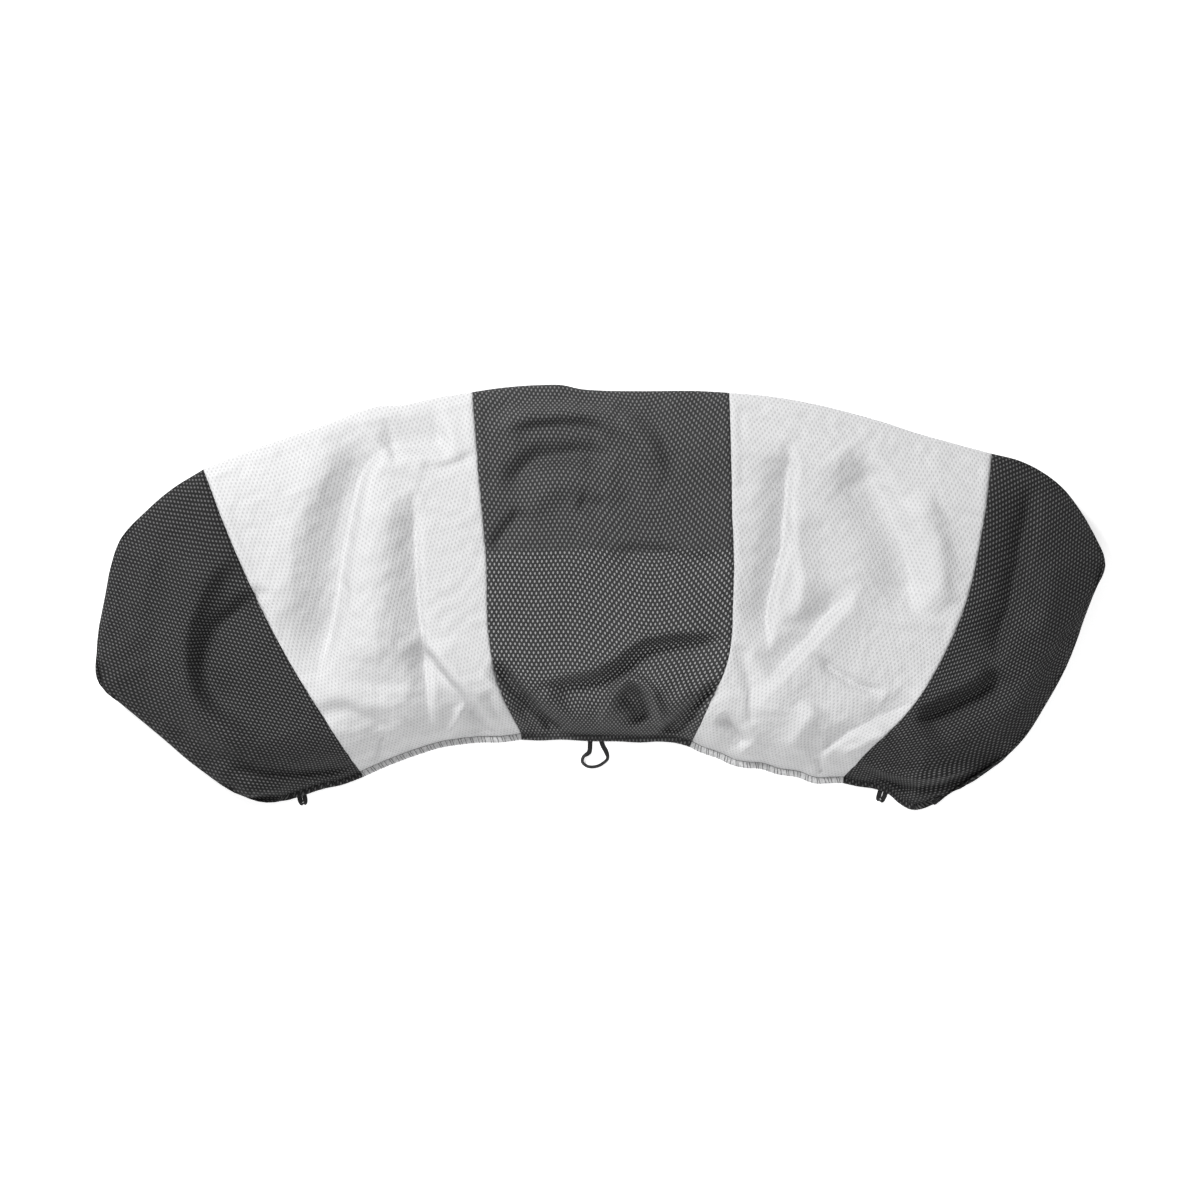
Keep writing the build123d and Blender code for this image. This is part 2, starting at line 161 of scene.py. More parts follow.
# Folds on the upper layer: height, width to the left of the line, width to its right, sharpness, points
FOLDS = [
    # left end: a long curved ridge, the valley inside it, and the tuck and roll along the hem
    (14, 13, 28, 2, [(-359, 60), (-393, 15), (-410, -27), (-413, -63), (-399, -105), (-370, -136),
        (-314, -158)]),
    (-10, 22, 9, 1.8, [(-331, 10), (-365, -15), (-390, -41), (-397, -66), (-390, -97), (-365, -128)]),
    (-9, 10, 5, 1.6, [(-372, -170), (-331, -175), (-298, -175), (-264, -172), (-244, -168)]),
    (5, 8, 8, 2, [(-392, -164), (-354, -187), (-331, -194), (-309, -197)]),
    (3, 12, 12, 2, [(-440, 60), (-455, 0), (-462, -60)]),
    (-3, 8, 14, 1.6, [(-430, -120), (-395, -150), (-340, -168)]),
    # left white strip: the arch-shaped valley, the crest inside it, the crease and the pleat at the right
    (-19, 30, 8, 1.7, [(-286, -92), (-267, -20), (-257, 40), (-246, 96), (-235, 132), (-216, 149),
        (-196, 156)]),
    (-10, 22, 12, 1.9, [(-222, 146), (-200, 152), (-174, 153), (-146, 160)]),
    (4, 22, 18, 2, [(-303, -35), (-309, 21), (-298, 77), (-272, 133), (-244, 164)]),
    (8, 26, 24, 2.2, [(-226, -90), (-226, -30), (-222, 30), (-217, 80), (-213, 122)]),
    (-8, 4, 14, 1.5, [(-186, 112), (-184, 49), (-181, -7), (-177, -49), (-173, -91), (-170, -139)]),
    (5, 22, 6, 1.8, [(-178, -44), (-149, -77), (-124, -108), (-99, -144)]),
    (-10, 6, 18, 1.7, [(-186, -40), (-167, -64), (-153, -82), (-128, -112), (-106, -142)]),
    (4, 4, 5, 1.6, [(-136, -104), (-144, -124), (-160, -143)]),
    (-5, 4, 4, 1.4, [(-135, -105), (-118, -125), (-104, -141)]),
    (3, 15, 13, 2, [(-286, -92), (-258, -98), (-230, -107), (-208, -123), (-185, -147)]),
    (-4, 11, 15, 2, [(-290, -118), (-256, -114), (-228, -121), (-208, -136)]),
    (-4, 4, 6, 1.5, [(-216, -134), (-224, -149), (-230, -168)]),
    (-2, 5, 7, 1.6, [(-180, 131), (-162, 128), (-142, 134), (-126, 145)]),
    (-3, 3, 5, 1.3, [(-257, 24), (-252, 7), (-254, -15)]),
    (-3, 5, 5, 1.4, [(-116, -92), (-102, -118), (-90, -140)]),
    # centre strip: arcs at the top, the edge where it rolls down to the hem, and the folds at its foot
    (10, 11, 15, 2, [(-113, 157), (-90, 174), (-52, 181), (-14, 181), (17, 175), (40, 159), (53, 136),
        (56, 104)]),
    (-6, 6, 9, 1.8, [(-92, 164), (-60, 170), (-14, 170), (10, 163)]),
    (-10, 12, 10, 1.8, [(-95, 100), (-83, 120), (-65, 136), (-39, 142), (-9, 142), (14, 132)]),
    (4, 14, 14, 2, [(-72, 70), (-58, 100), (-32, 112), (2, 108), (26, 92)]),
    (-6, 7, 9, 1.7, [(-110, 44), (-93, 69), (-76, 89)]),
    (-4, 9, 9, 2, [(-24, 96), (4, 86)]),
    (-4, 7, 11, 1.8, [(4, 44), (49, 45), (89, 38), (127, 34)]),
    (6, 4, 26, 1.7, [(130, -34), (101, -34), (68, -35), (42, -41), (19, -56), (-4, -69), (-32, -76),
        (-60, -81)]),
    (-11, 20, 5, 1.6, [(130, -46), (101, -46), (68, -47), (44, -53), (24, -67), (0, -80), (-32, -87),
        (-66, -92)]),
    (11, 4, 6, 1.6, [(0, -142), (6, -112), (17, -91), (32, -82), (48, -91), (58, -112), (63, -142)]),
    (-17, 13, 13, 2, [(18, -90), (34, -102), (42, -128)]),
    (-19, 6, 7, 1.6, [(-108, -60), (-91, -84), (-70, -107), (-52, -125), (-36, -144)]),
    (5, 9, 8, 1.7, [(-62, -92), (-42, -110), (-22, -132)]),
    (-14, 7, 4, 1.5, [(120, -80), (96, -104), (76, -122), (55, -142)]),
    (-4, 3, 3, 1.4, [(100, -112), (84, -124), (70, -140)]),
    (-5, 5, 5, 1.5, [(-84, -98), (-73, -122), (-62, -142)]),
    (4, 8, 8, 1.8, [(92, -88), (76, -104), (64, -126)]),
    # right white strip: the upright crease, the slanting fold, the soft valley by the seam, and the gathers
    (-13, 4, 18, 1.5, [(190, 160), (186, 117), (184, 88), (180, 51), (172, 17), (166, -12), (165, -58)]),
    (4, 16, 6, 1.8, [(194, 100), (195, 57), (200, 17), (194, -28)]),
    (4, 22, 9, 1.8, [(268, 20), (257, 5), (240, -18), (214, -49), (188, -78), (162, -104), (146, -126)]),
    (-8, 6, 17, 1.8, [(250, 6), (223, -18), (205, -41), (186, -60), (162, -84)]),
    (-12, 14, 30, 2, [(240, 148), (266, 117), (286, 80), (300, 45), (306, 11), (300, -28)]),
    (5, 14, 16, 2, [(309, 108), (329, 68), (337, 22), (330, -20)]),
    (-5, 5, 4, 1.4, [(214, -58), (234, -75), (257, -88), (284, -95)]),
    (-6, 5, 13, 1.5, [(317, -101), (286, -115), (251, -132), (223, -152), (200, -178)]),
    (-10, 5, 9, 1.6, [(118, -116), (134, -131), (148, -149)]),
    (-3, 3, 3, 1.4, [(150, -84), (148, -107), (151, -128)]),
    (5, 10, 12, 1.8, [(188, -158), (200, -132), (216, -104)]),
    (-3, 8, 8, 1.8, [(138, -44), (147, -80), (150, -98)]),
    (4, 6, 7, 1.8, [(236, -162), (262, -146), (290, -132)]),
    (-4, 4, 4, 1.4, [(217, -158), (222, -178)]),
    # right end: the long valley, the ledge, and the ridge and tuck along the hem
    (-13, 5, 16, 1.5, [(432, 116), (425, 74), (418, 40), (408, -6), (397, -41), (388, -70)]),
    (5, 14, 4, 1.6, [(306, -114), (330, -101), (353, -90), (376, -74), (386, -60)]),
    (-14, 4, 18, 1.6, [(310, -126), (336, -112), (360, -101), (384, -86), (398, -66)]),
    (4, 5, 7, 1.7, [(290, -134), (317, -142), (343, -145), (370, -140)]),
    (7, 5, 3, 1.5, [(258, -165), (280, -173), (317, -180), (354, -175), (386, -165)]),
    (-8, 4, 6, 1.6, [(268, -178), (288, -185), (317, -190), (349, -185), (372, -177)]),
    (4, 14, 14, 2, [(440, -60), (414, -104), (380, -130)]),
    (4, 12, 14, 2, [(450, 40), (446, -10), (430, -50)]),
]

# Middle line of the ribbon of the centre loop in plan, from one end under the hem to the other
CENTRE_LOOP = [(-10.8, -137), (-10.8, -148), (-11.9, -156), (-17.6, -160.6), (-18.7, -165.2),
    (-14.3, -169.5), (-5.2, -170.2), (2.0, -167.0), (6.9, -161.8), (5.4, -155.5), (2.0, -149), (-0.8, -137)]


def curve(points, count):
    """A smooth line through the points, with count even steps along it."""
    points = np.array(points, float)
    ends = np.vstack([2 * points[0] - points[1], points, 2 * points[-1] - points[-2]])
    before = np.linalg.norm(np.diff(ends, axis=0), axis=1)[:, None]
    slopes = np.diff(ends, axis=0) / before
    tangents = (slopes[:-1] * before[1:] + slopes[1:] * before[:-1]) / (before[:-1] + before[1:])
    fine = []
    t = np.linspace(0, 1, 40, endpoint=False)[:, None]
    for start, end, leave, arrive in zip(points, points[1:], tangents, tangents[1:]):
        reach = np.linalg.norm(end - start)
        a = 2 * t**3 - 3 * t**2 + 1
        b = t**3 - 2 * t**2 + t
        c = t**3 - t**2
        fine.append(a * start + b * leave * reach + (1 - a) * end + c * arrive * reach)
    fine = np.vstack([*fine, points[-1:]])
    return resample(fine, count)


def resample(line, count):
    """The same line in count even steps."""
    lengths = arc(line)
    wanted = np.linspace(0, lengths[-1], count + 1)
    return np.stack([np.interp(wanted, lengths, line[:, k]) for k in range(line.shape[1])], axis=1)


def arc(line):
    """Length from the start of a line to each of its points."""
    return np.concatenate([[0.0], np.cumsum(np.linalg.norm(np.diff(line, axis=0), axis=1))])


def arc_from_corners(line):
    """Length along a line from its nearer end to each of its points."""
    lengths = arc(line)
    return np.minimum(lengths, lengths[-1] - lengths)


def side(line):
    """The unit normal in plan at each point of a line, to the left of the way it runs."""
    along = np.gradient(line[:, :2], axis=0)
    along /= np.maximum(np.linalg.norm(along, axis=1), 1e-12)[:, None]
    return np.stack([-along[:, 1], along[:, 0]], axis=1)


def on_plan(line):
    """A line in plan as one in space, at height 0."""
    return np.column_stack([line, np.zeros(len(line))])


def smooth_step(value):
    """Goes smoothly from 0 to 1 as value does, and stays there beyond."""
    value = np.clip(value, 0.0, 1.0)
    return value * value * (3 - 2 * value)


def nearest(points, line):
    """Signed distance in plan from points to a line, positive on its left, and the share of it passed."""
    best = np.full(len(points), 1e9)
    signed = np.zeros(len(points))
    along = np.zeros(len(points))
    lengths = arc(line)
    for i in range(len(line) - 1):
        start, step = line[i], line[i + 1] - line[i]
        t = np.clip((points - start) @ step / max(step @ step, 1e-18), 0, 1)
        offset = points - start - t[:, None] * step
        distance = np.hypot(offset[:, 0], offset[:, 1])
        closer = distance < best
        best[closer] = distance[closer]
        turn = step[0] * offset[:, 1] - step[1] * offset[:, 0]
        signed[closer] = (np.sign(turn) * distance)[closer]
        along[closer] = (lengths[i] + t * (lengths[i + 1] - lengths[i]))[closer] / lengths[-1]
    return signed, along


def fold_heights(plan):
    """What all the folds add to the height of the upper layer."""
    total = np.zeros(len(plan))
    for height, left, right, power, points in FOLDS:
        line = curve(np.array(points) * MM, 24)
        reach = 4 * max(left, right) * MM
        near = np.all((plan > line.min(axis=0) - reach) & (plan < line.max(axis=0) + reach), axis=1)
        distance, along = nearest(plan[near], line)
        width = np.where(distance > 0, left, right) * MM
        taper = smooth_step(along / 0.22) * smooth_step((1 - along) / 0.22)
        total[near] += FOLD_DEPTH * height * MM * taper * np.exp(-((np.abs(distance) / width) ** power))
    return total


def gather_heights(station, rise):
    """Puckers that the elastic draws in the cloth: station runs along the hem, rise is the way up from it."""
    total = np.zeros_like(rise)
    puckers = [(15, 0.7, 0.4, 2.1), (23, 1.4, 1.9, 1.3), (37, 2.2, 0.9, 0.7), (58, 2.6, 2.7, 0.4)]
    for wave, share, phase, drift in puckers:
        bend = 0.9 * np.sin(station / (0.61 * wave * 3 * MM) + phase)
        bend = bend + 0.5 * np.sin(station / (2.3 * wave * MM) + 2 * phase)
        lean = drift * rise / (wave * MM) * np.sin(station / (95 * MM) + phase) * 0.35
        ridge = np.abs(np.sin(pi * station / (wave * MM) + phase + bend + lean)) - 0.64
        total += share * MM * ridge * np.exp(-rise / (1.25 * wave * MM)) * (1 - np.exp(-rise / (4 * MM)))
    return total


def hem_wave(station):
    """How far the hem lifts off what it lies on."""
    lift = np.sin(station / (19 * MM)) + 0.7 * np.sin(station / (31 * MM) + 1.2)
    lift = lift + 0.5 * np.sin(station / (11 * MM) + 0.5)
    return 0.45 * MM * (lift + 2.2)


def rows_along(count):
    """Shares from 0 to 1, closer together at both ends."""
    even = np.linspace(0, 1, count + 1)
    return 0.62 * even + 0.38 * (1 - np.cos(pi * even)) / 2


def whole_line(parts):
    """One line over all the strips, with a point at each column of the grid."""
    lines = [curve(np.array(points) * MM, panel.columns) for points, panel in zip(parts, PANELS)]
    return np.vstack([lines[0]] + [line[1:] for line in lines[1:]])


def panel_ranges():
    """First and last column of each strip in the whole grid."""
    edges = np.cumsum([0] + [panel.columns for panel in PANELS])
    return list(zip(edges, edges[1:]))


def strip_side(number, column, needle, rim, shares):
    """One side of a strip in plan: a seam, or a straight line at the two corners of the cover."""
    if not 0 <= number < len(SEAMS):
        return needle[column] + shares[:, None] * (rim[column] - needle[column])
    line = curve(np.array(SEAMS[number]) * MM, 400)
    spot = arc(line) / arc(line)[-1]
    seam = np.stack([np.interp(shares, spot, line[:, k]) for k in (0, 1)], axis=1)
    return seam + (1 - shares)[:, None] * (needle[column] - seam[0])


def upper_plan(needle, rim, shares):
    """Where the points of the upper layer are in plan: each strip is filled in between its four edges."""
    plan = np.zeros((len(shares), len(needle), 2))
    up = shares[:, None, None]
    for index, (first, last) in enumerate(panel_ranges()):
        bottom, top = needle[first : last + 1], rim[first : last + 1]
        left = strip_side(index - 1, first, needle, rim, shares)
        right = strip_side(index, last, needle, rim, shares)
        across = np.linspace(0, 1, last - first + 1)[None, :, None]
        ruled = (1 - up) * bottom[None] + up * top[None]
        lofted = (1 - across) * left[:, None] + across * right[:, None]
        corners = (1 - up) * ((1 - across) * bottom[0] + across * bottom[-1])
        corners = corners + up * ((1 - across) * top[0] + across * top[-1])
        plan[:, first : last + 1] = ruled + lofted - corners
    return plan


def rim_heights(rim):
    """Height of the widest line: it rises from the corners round the ends, and again to the crown fold."""
    run = arc_from_corners(rim)
    height = CORNER_HEIGHT + (RIM_HEIGHT - CORNER_HEIGHT) * smooth_step(run / (60 * MM))
    return height + (FOLD_HEIGHT - RIM_HEIGHT) * smooth_step((run - 200 * MM) / (230 * MM))


def upper_heights(plan, station, needle, rim, shares):
    """Height of the upper layer: a puffed cap between the hem and the widest line, with folds and puckers."""
    flat = plan.reshape(-1, 2)
    outline = np.vstack([needle, rim[::-1], needle[:1]])
    inward = np.abs(nearest(flat, outline[::6])[0]).reshape(plan.shape[:2])
    up = shares[:, None]
    start = 2.9 * MM + hem_wave(station)[None, :]
    base = start * (1 - up) + rim_heights(rim)[None, :] * up
    roundness = 0.9 - 0.25 * smooth_step(up)
    swell = (1 - (1 - np.clip(inward / SHOULDER, 0, 1)) ** 1.75) ** roundness
    height = base + (CROWN - base) * swell
    folds = fold_heights(flat).reshape(height.shape)
    rise = np.linalg.norm(plan - plan[:1], axis=2)
    open_share = smooth_step(np.minimum(station, station[-1] - station) / (70 * MM))[None, :]
    puckers = gather_heights(np.broadcast_to(station[None, :], rise.shape), rise) * (0.35 + 0.65 * open_share)
    top_fade = smooth_step((1 - up) / 0.06)
    calm = smooth_step(inward / (7 * MM))
    uneven = 0.5 * MM * np.sin(plan[..., 0] / (23 * MM) + np.sin(plan[..., 1] / (31 * MM)) * 1.7)
    uneven += 0.4 * MM * np.sin(plan[..., 1] / (17 * MM) + np.sin(plan[..., 0] / (27 * MM)) * 1.9)
    height = height + (folds * calm + puckers + uneven * calm) * top_fade
    height = np.maximum(height, LOWEST)
    for first, _ in panel_ranges()[1:]:
        reach = np.abs(np.arange(plan.shape[1]) - first)[None, :]
        height -= 0.9 * MM * np.exp(-((reach / 0.9) ** 2)) * smooth_step(up / 0.05)
    return height


def hem_rows(line, outward, section, lift):
    """Rows of the grid across a hem, from a cross-section and how far the hem lifts."""
    rows = np.zeros((len(section), len(line), 3))
    for row, (offset, level) in enumerate(section):
        rows[row, :, :2] = line + outward * offset * MM
        rows[row, :, 2] = level * MM + lift
    return rows


def roll_rows(rim, rim_out):
    """Rows of the grid from the widest line down to the foot, with tucks in the wall."""
    height, station = rim_heights(rim), arc(rim)
    tuck = 0.5 + 0.5 * np.sin(station / (13 * MM) + 1.6 * np.sin(station / (47 * MM)))
    tuck = (TUCK * tuck * smooth_step(arc_from_corners(rim) / (80 * MM)))[:, None]
    rows = np.zeros((ROLL_ROWS, len(rim), 3))
    for row in range(ROLL_ROWS):
        angle = pi / 2 * (row + 1) / ROLL_ROWS
        rows[row, :, :2] = rim - rim_out * (FOOT_INSET * (1 - np.cos(angle)) + tuck * np.sin(angle) ** 2)
        rows[row, :, 2] = UNDER + (height - UNDER) * (1 - np.sin(angle))
    return rows


def lower_rows(foot, needle, station):
    """Rows of the grid under the cover, from its foot to the needle line of the back hem."""
    rows = np.zeros((BACK_ROWS, len(foot), 3))
    for row in range(BACK_ROWS):
        share = (row + 1) / BACK_ROWS
        rows[row, :, :2] = foot * (1 - share) + needle * share
        away = np.linalg.norm(rows[row, :, :2] - needle, axis=1)
        ripple = np.abs(gather_heights(station, away)) * 0.8
        rows[row, :, 2] = UNDER + ripple * min(1.0, (1 - share) * 8 + 0.1)
    return rows


def build_grid():
    """The whole cover as one grid of points, and its hem lines and widest line in plan.

    The rows run from the front hem over the crown fold to the back hem, and the columns from left to right.
    """
    front, back, rim = (whole_line(parts) for parts in (FRONT_HEM, BACK_HEM, RIM))
    back_station = arc(back)
    sway = np.sin(back_station / (21 * MM)) + 0.7 * np.sin(back_station / (12.5 * MM) + 0.8)
    sway *= 1.7 * MM * smooth_step(arc_from_corners(back) / (60 * MM))
    back = back + side(back) * sway[:, None]
    front_out, back_out, rim_out = -side(front), side(back), side(rim)
    station, shares = arc(front), rows_along(FRONT_ROWS)
    needle = front + front_out * HEM_SECTION[-1][0] * MM
    plan = upper_plan(needle, rim, shares)
    upper = np.dstack([plan, upper_heights(plan, station, needle, rim, shares)])
    hem = hem_rows(front, front_out, HEM_SECTION, hem_wave(station))
    roll = roll_rows(rim, rim_out)
    lower = lower_rows(roll[-1, :, :2], back + back_out * 2.4 * MM, back_station)
    turned = [(offset, HEM_TURNOVER - level) for offset, level in reversed(HEM_SECTION)]
    back_hem = hem_rows(back, -back_out, turned, 0.0)
    grid = np.concatenate([hem, upper[1:], roll, lower, back_hem])
    return grid, {"front": front, "back": back, "front_out": front_out, "back_out": back_out, "rim": rim}


def slack_sheet(points):
    """A cloth object over a grid of points, held at its hem, at its corners and along the crown fold."""
    rows, columns = points.shape[:2]
    data = bpy.data.meshes.new("slack_cloth")
    data.from_pydata(points.reshape(-1, 3).tolist(), [], grid_faces(rows, columns).tolist())
    sheet = bpy.data.objects.new("slack_cloth", data)
    bpy.context.scene.collection.objects.link(sheet)
    hold = np.full((rows, columns), 0.4)
    hold[:2], hold[-3:], hold[:, :1], hold[:, -1:] = 1.0, 1.0, 1.0, 1.0
    for seam, _ in panel_ranges()[1:]:
        hold[:, seam // 2] = 0.6
    group = sheet.vertex_groups.new(name="held")
    for index, weight in enumerate(hold.ravel()):
        group.add([index], float(weight), "REPLACE")
    cloth = sheet.modifiers.new("cloth", "CLOTH")
    settings = cloth.settings
    settings.vertex_group_mass = "held"
    settings.pin_stiffness = 1.0
    settings.quality = 5
    settings.mass = 0.12
    settings.tension_stiffness = settings.compression_stiffness = 25
    settings.shear_stiffness = 8
    settings.bending_stiffness = 0.2
    settings.tension_damping = settings.compression_damping = settings.shear_damping = 8
    settings.shrink_min = -0.02
    settings.effector_weights.gravity = 0.1
    cloth.collision_settings.use_collision = False
    cloth.point_cache.frame_start, cloth.point_cache.frame_end = 1, SETTLE_STEPS
    return sheet


def fill_in(coarse, shape):
    """Fills in values given at every second row and column, and smooths them. The grid's edges get none."""
    rows, columns = np.arange(shape[0]), np.arange(shape[1])
    wide = np.stack([[np.interp(columns, columns[::2], line[:, k]) for k in range(3)] for line in coarse])
    full = np.zeros(shape)
    for k in range(3):
        for column in columns:
            full[:, column, k] = np.interp(rows, rows[::2], wide[:, k, column])
    for axis in (0, 1):
        full = (np.roll(full, 1, axis) + 2 * full + np.roll(full, -1, axis)) / 4
        full[0], full[-1], full[:, 0], full[:, -1] = 0, 0, 0, 0
    return full


def settle(grid):
    """Lets the upper layer buckle as slack cloth, and moves its points in the grid with it."""
    first = len(HEM_SECTION) - 1
    upper = grid[first : first + FRONT_ROWS + 1]
    coarse = upper[::2, ::2]
    scene = bpy.context.scene
    sheet = slack_sheet(coarse)
    scene.frame_start, scene.frame_end = 1, SETTLE_STEPS
    for step in range(1, SETTLE_STEPS + 1):
        scene.frame_set(step)
    result = sheet.evaluated_get(bpy.context.evaluated_depsgraph_get())
    found = np.zeros(coarse.size)
    result.data.vertices.foreach_get("co", found)
    moved = found.reshape(coarse.shape) - coarse
    bpy.data.objects.remove(sheet)
    scene.frame_set(1)
    upper += fill_in(moved, upper.shape)
    upper[..., 2] = np.clip(upper[..., 2], LOWEST, HIGHEST)


def draw_in_corners(grid, borders):
    """The grid with its first and last columns drawn together, as the layers are sewn into each corner."""
    drawn = grid.copy()
    for end, way in ((0, 1), (-1, -1)):
        corner = np.append(borders["rim"][end], 1.6 * MM)
        for step, share in enumerate(CORNER_SHARES):
            column = end + way * step
            drawn[:, column] += share * (corner - drawn[:, column])
    return drawn


def smooth_across(values, spread):
    """Evens out each row of values over its neighbouring columns."""
    reach = 3 * spread
    weights = np.exp(-0.5 * (np.arange(-reach, reach + 1) / spread) ** 2)
    weights /= weights.sum()
    padded = np.pad(values, ((0, 0), (reach, reach)), mode="reflect", reflect_type="odd")
    return np.stack([np.convolve(row, weights, "valid") for row in padded])


def pattern_coordinates(grid, first, last, borders):
    """Where each point of a panel was on the flat cloth, in metres, so that the mesh follows its folds."""
    part = grid[:, first : last + 1]
    steps = np.linalg.norm(np.diff(part, axis=0), axis=2)
    run = np.concatenate([np.zeros((1, part.shape[1])), np.cumsum(steps, axis=0)])
    run = smooth_across(run, 6)
    run -= run[len(HEM_SECTION) - 1][None, :]
    hem, rim = borders["front"][first : last + 1], borders["rim"][first : last + 1]
    middle = hem.mean(axis=0)
    hem_flat = middle + (hem - middle) * 1.2
    grain = rim.mean(axis=0) - middle
    grain /= np.linalg.norm(grain)
    ways = rim - hem_flat
    ways /= np.linalg.norm(ways, axis=1)[:, None]
    length = run[len(HEM_SECTION) + FRONT_ROWS - 1][None, :]
    ahead = np.minimum(run, length)[..., None] * ways[None]
    beyond = np.maximum(run - length, 0)[..., None] * (0.7 * ways + 0.3 * grain)[None]
    flat = hem_flat[None] + ahead + beyond - middle
    across = np.array([grain[1], -grain[0]])
    return np.stack([flat @ across, flat @ grain], axis=2)


def add_mesh(name, vertices, faces, material, uv=None):
    """A mesh object with one material, and a UV map called pattern where uv gives one coordinate a vertex."""
    data = bpy.data.meshes.new(name)
    data.from_pydata([tuple(v) for v in vertices], [], [tuple(f) for f in faces])
    data.update()
    if uv is not None:
        layer = data.uv_layers.new(name="pattern")
        corners = np.zeros(len(data.loops), int)
        data.loops.foreach_get("vertex_index", corners)
        layer.data.foreach_set("uv", np.asarray(uv)[corners].astype(np.float32).ravel())
    data.polygons.foreach_set("use_smooth", [True] * len(data.polygons))
    data.materials.append(material)
    piece = bpy.data.objects.new(name, data)
    bpy.context.scene.collection.objects.link(piece)
    return piece


def grid_faces(rows, columns, wrap=False):
    """Faces of a grid of points, closed round its columns where wrap is set."""
    index = np.arange(rows * columns).reshape(rows, columns)
    if wrap:
        index = np.hstack([index, index[:, :1]])
    corners = [index[:-1, :-1], index[:-1, 1:], index[1:, 1:], index[1:, :-1]]
    return np.stack(corners, axis=-1).reshape(-1, 4)


def thicken(piece, thickness):
    """Gives a single surface its real thickness, half to each side."""
    shell = piece.modifiers.new("thickness", "SOLIDIFY")
    shell.thickness = thickness
    shell.offset = 0.0
    shell.use_even_offset = False


def put_on_cover(piece, node):
    """A piece that stands for a CAD node of the cover and moves with it."""
    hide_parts(node)
    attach(piece, "cover")


def tubes(paths, radius, sides=6):
    """Round threads along many short paths. Returns their points and faces."""
    angles = np.linspace(0, 2 * pi, sides, endpoint=False)
    points, faces, start = [], [], 0
    for path in paths:
        path = np.asarray(path)
        along = np.gradient(path, axis=0)
        along /= np.maximum(np.linalg.norm(along, axis=1), 1e-12)[:, None]
        first = np.cross(along, UP)
        weak = np.linalg.norm(first, axis=1) < 0.2
        first[weak] = np.cross(along[weak], [1.0, 0.3, 0.0])
        first /= np.linalg.norm(first, axis=1)[:, None]
        second = np.cross(first, along)
        round_it = np.cos(angles)[:, None] * first[:, None] + np.sin(angles)[:, None] * second[:, None]
        rings = path[:, None] + radius * round_it
        points.append(rings.reshape(-1, 3))
        faces.extend((grid_faces(len(path), sides, wrap=True) + start).tolist())
        faces.append([start + k for k in range(sides)][::-1])
        faces.append([start + (len(path) - 1) * sides + k for k in range(sides)])
        start += len(path) * sides
    return np.vstack(points), faces


class Paint:
    """A procedural material while it is being made. Its methods take sockets or plain values."""

    def __init__(self, name):
        self.material = bpy.data.materials.new(name)
        self.material.use_nodes = True
        self.tree = self.material.node_tree
        self.shader = self.tree.nodes["Principled BSDF"]

    def node(self, kind, **values):
        """A new node of this kind, with plain values on its inputs."""
        node = self.tree.nodes.new(f"ShaderNode{kind}")
        for name, value in values.items():
            node.inputs[name].default_value = value
        return node

    def feed(self, socket, value):
        """Puts a value on an input or links another socket to it."""
        if isinstance(value, (int, float)):
            socket.default_value = value
        elif isinstance(value, tuple):
            socket.default_value = (*value, 1.0)
        else:
            self.tree.links.new(value, socket)

    def surface(self, name, value):
        """Gives the shader one of its inputs."""
        self.feed(self.shader.inputs[name], value)

    def place(self):
        """The place on the flat cloth or ribbon: the vector, and its two coordinates."""
        pattern, split = self.node("UVMap"), self.node("SeparateXYZ")
        pattern.uv_map = "pattern"
        self.feed(split.inputs[0], pattern.outputs[0])
        return pattern.outputs[0], split.outputs[0], split.outputs[1]

    def math(self, operation, *values):
        node = self.node("Math")
        node.operation = operation
        for slot, value in enumerate(values):
            self.feed(node.inputs[slot], value)
        return node.outputs[0]

    def ramp(self, value, low, high, low_to=0.0, high_to=1.0):
        """Maps value from low..high to low_to..high_to, smoothly."""
        node = self.node("MapRange")
        node.interpolation_type = "SMOOTHSTEP"
        for name, number in (("From Min", low), ("From Max", high), ("To Min", low_to), ("To Max", high_to)):
            node.inputs[name].default_value = number
        self.feed(node.inputs["Value"], value)
        return node.outputs["Result"]

    def mix(self, factor, first, second):
        """Goes from the first colour to the second as the factor goes from 0 to 1."""
        node = self.node("Mix")
        node.data_type = "RGBA"
        self.feed(node.inputs["Factor"], factor)
        for name, value in (("A", first), ("B", second)):
            self.feed(next(s for s in node.inputs if s.name == name and s.type == "RGBA"), value)
        return next(s for s in node.outputs if s.type == "RGBA")

    def bump(self, height, strength, distance):
        """Lets a height show in the shading."""
        node = self.node("Bump", Strength=strength, Distance=distance)
        self.feed(node.inputs["Height"], height)
        self.surface("Normal", node.outputs["Normal"])


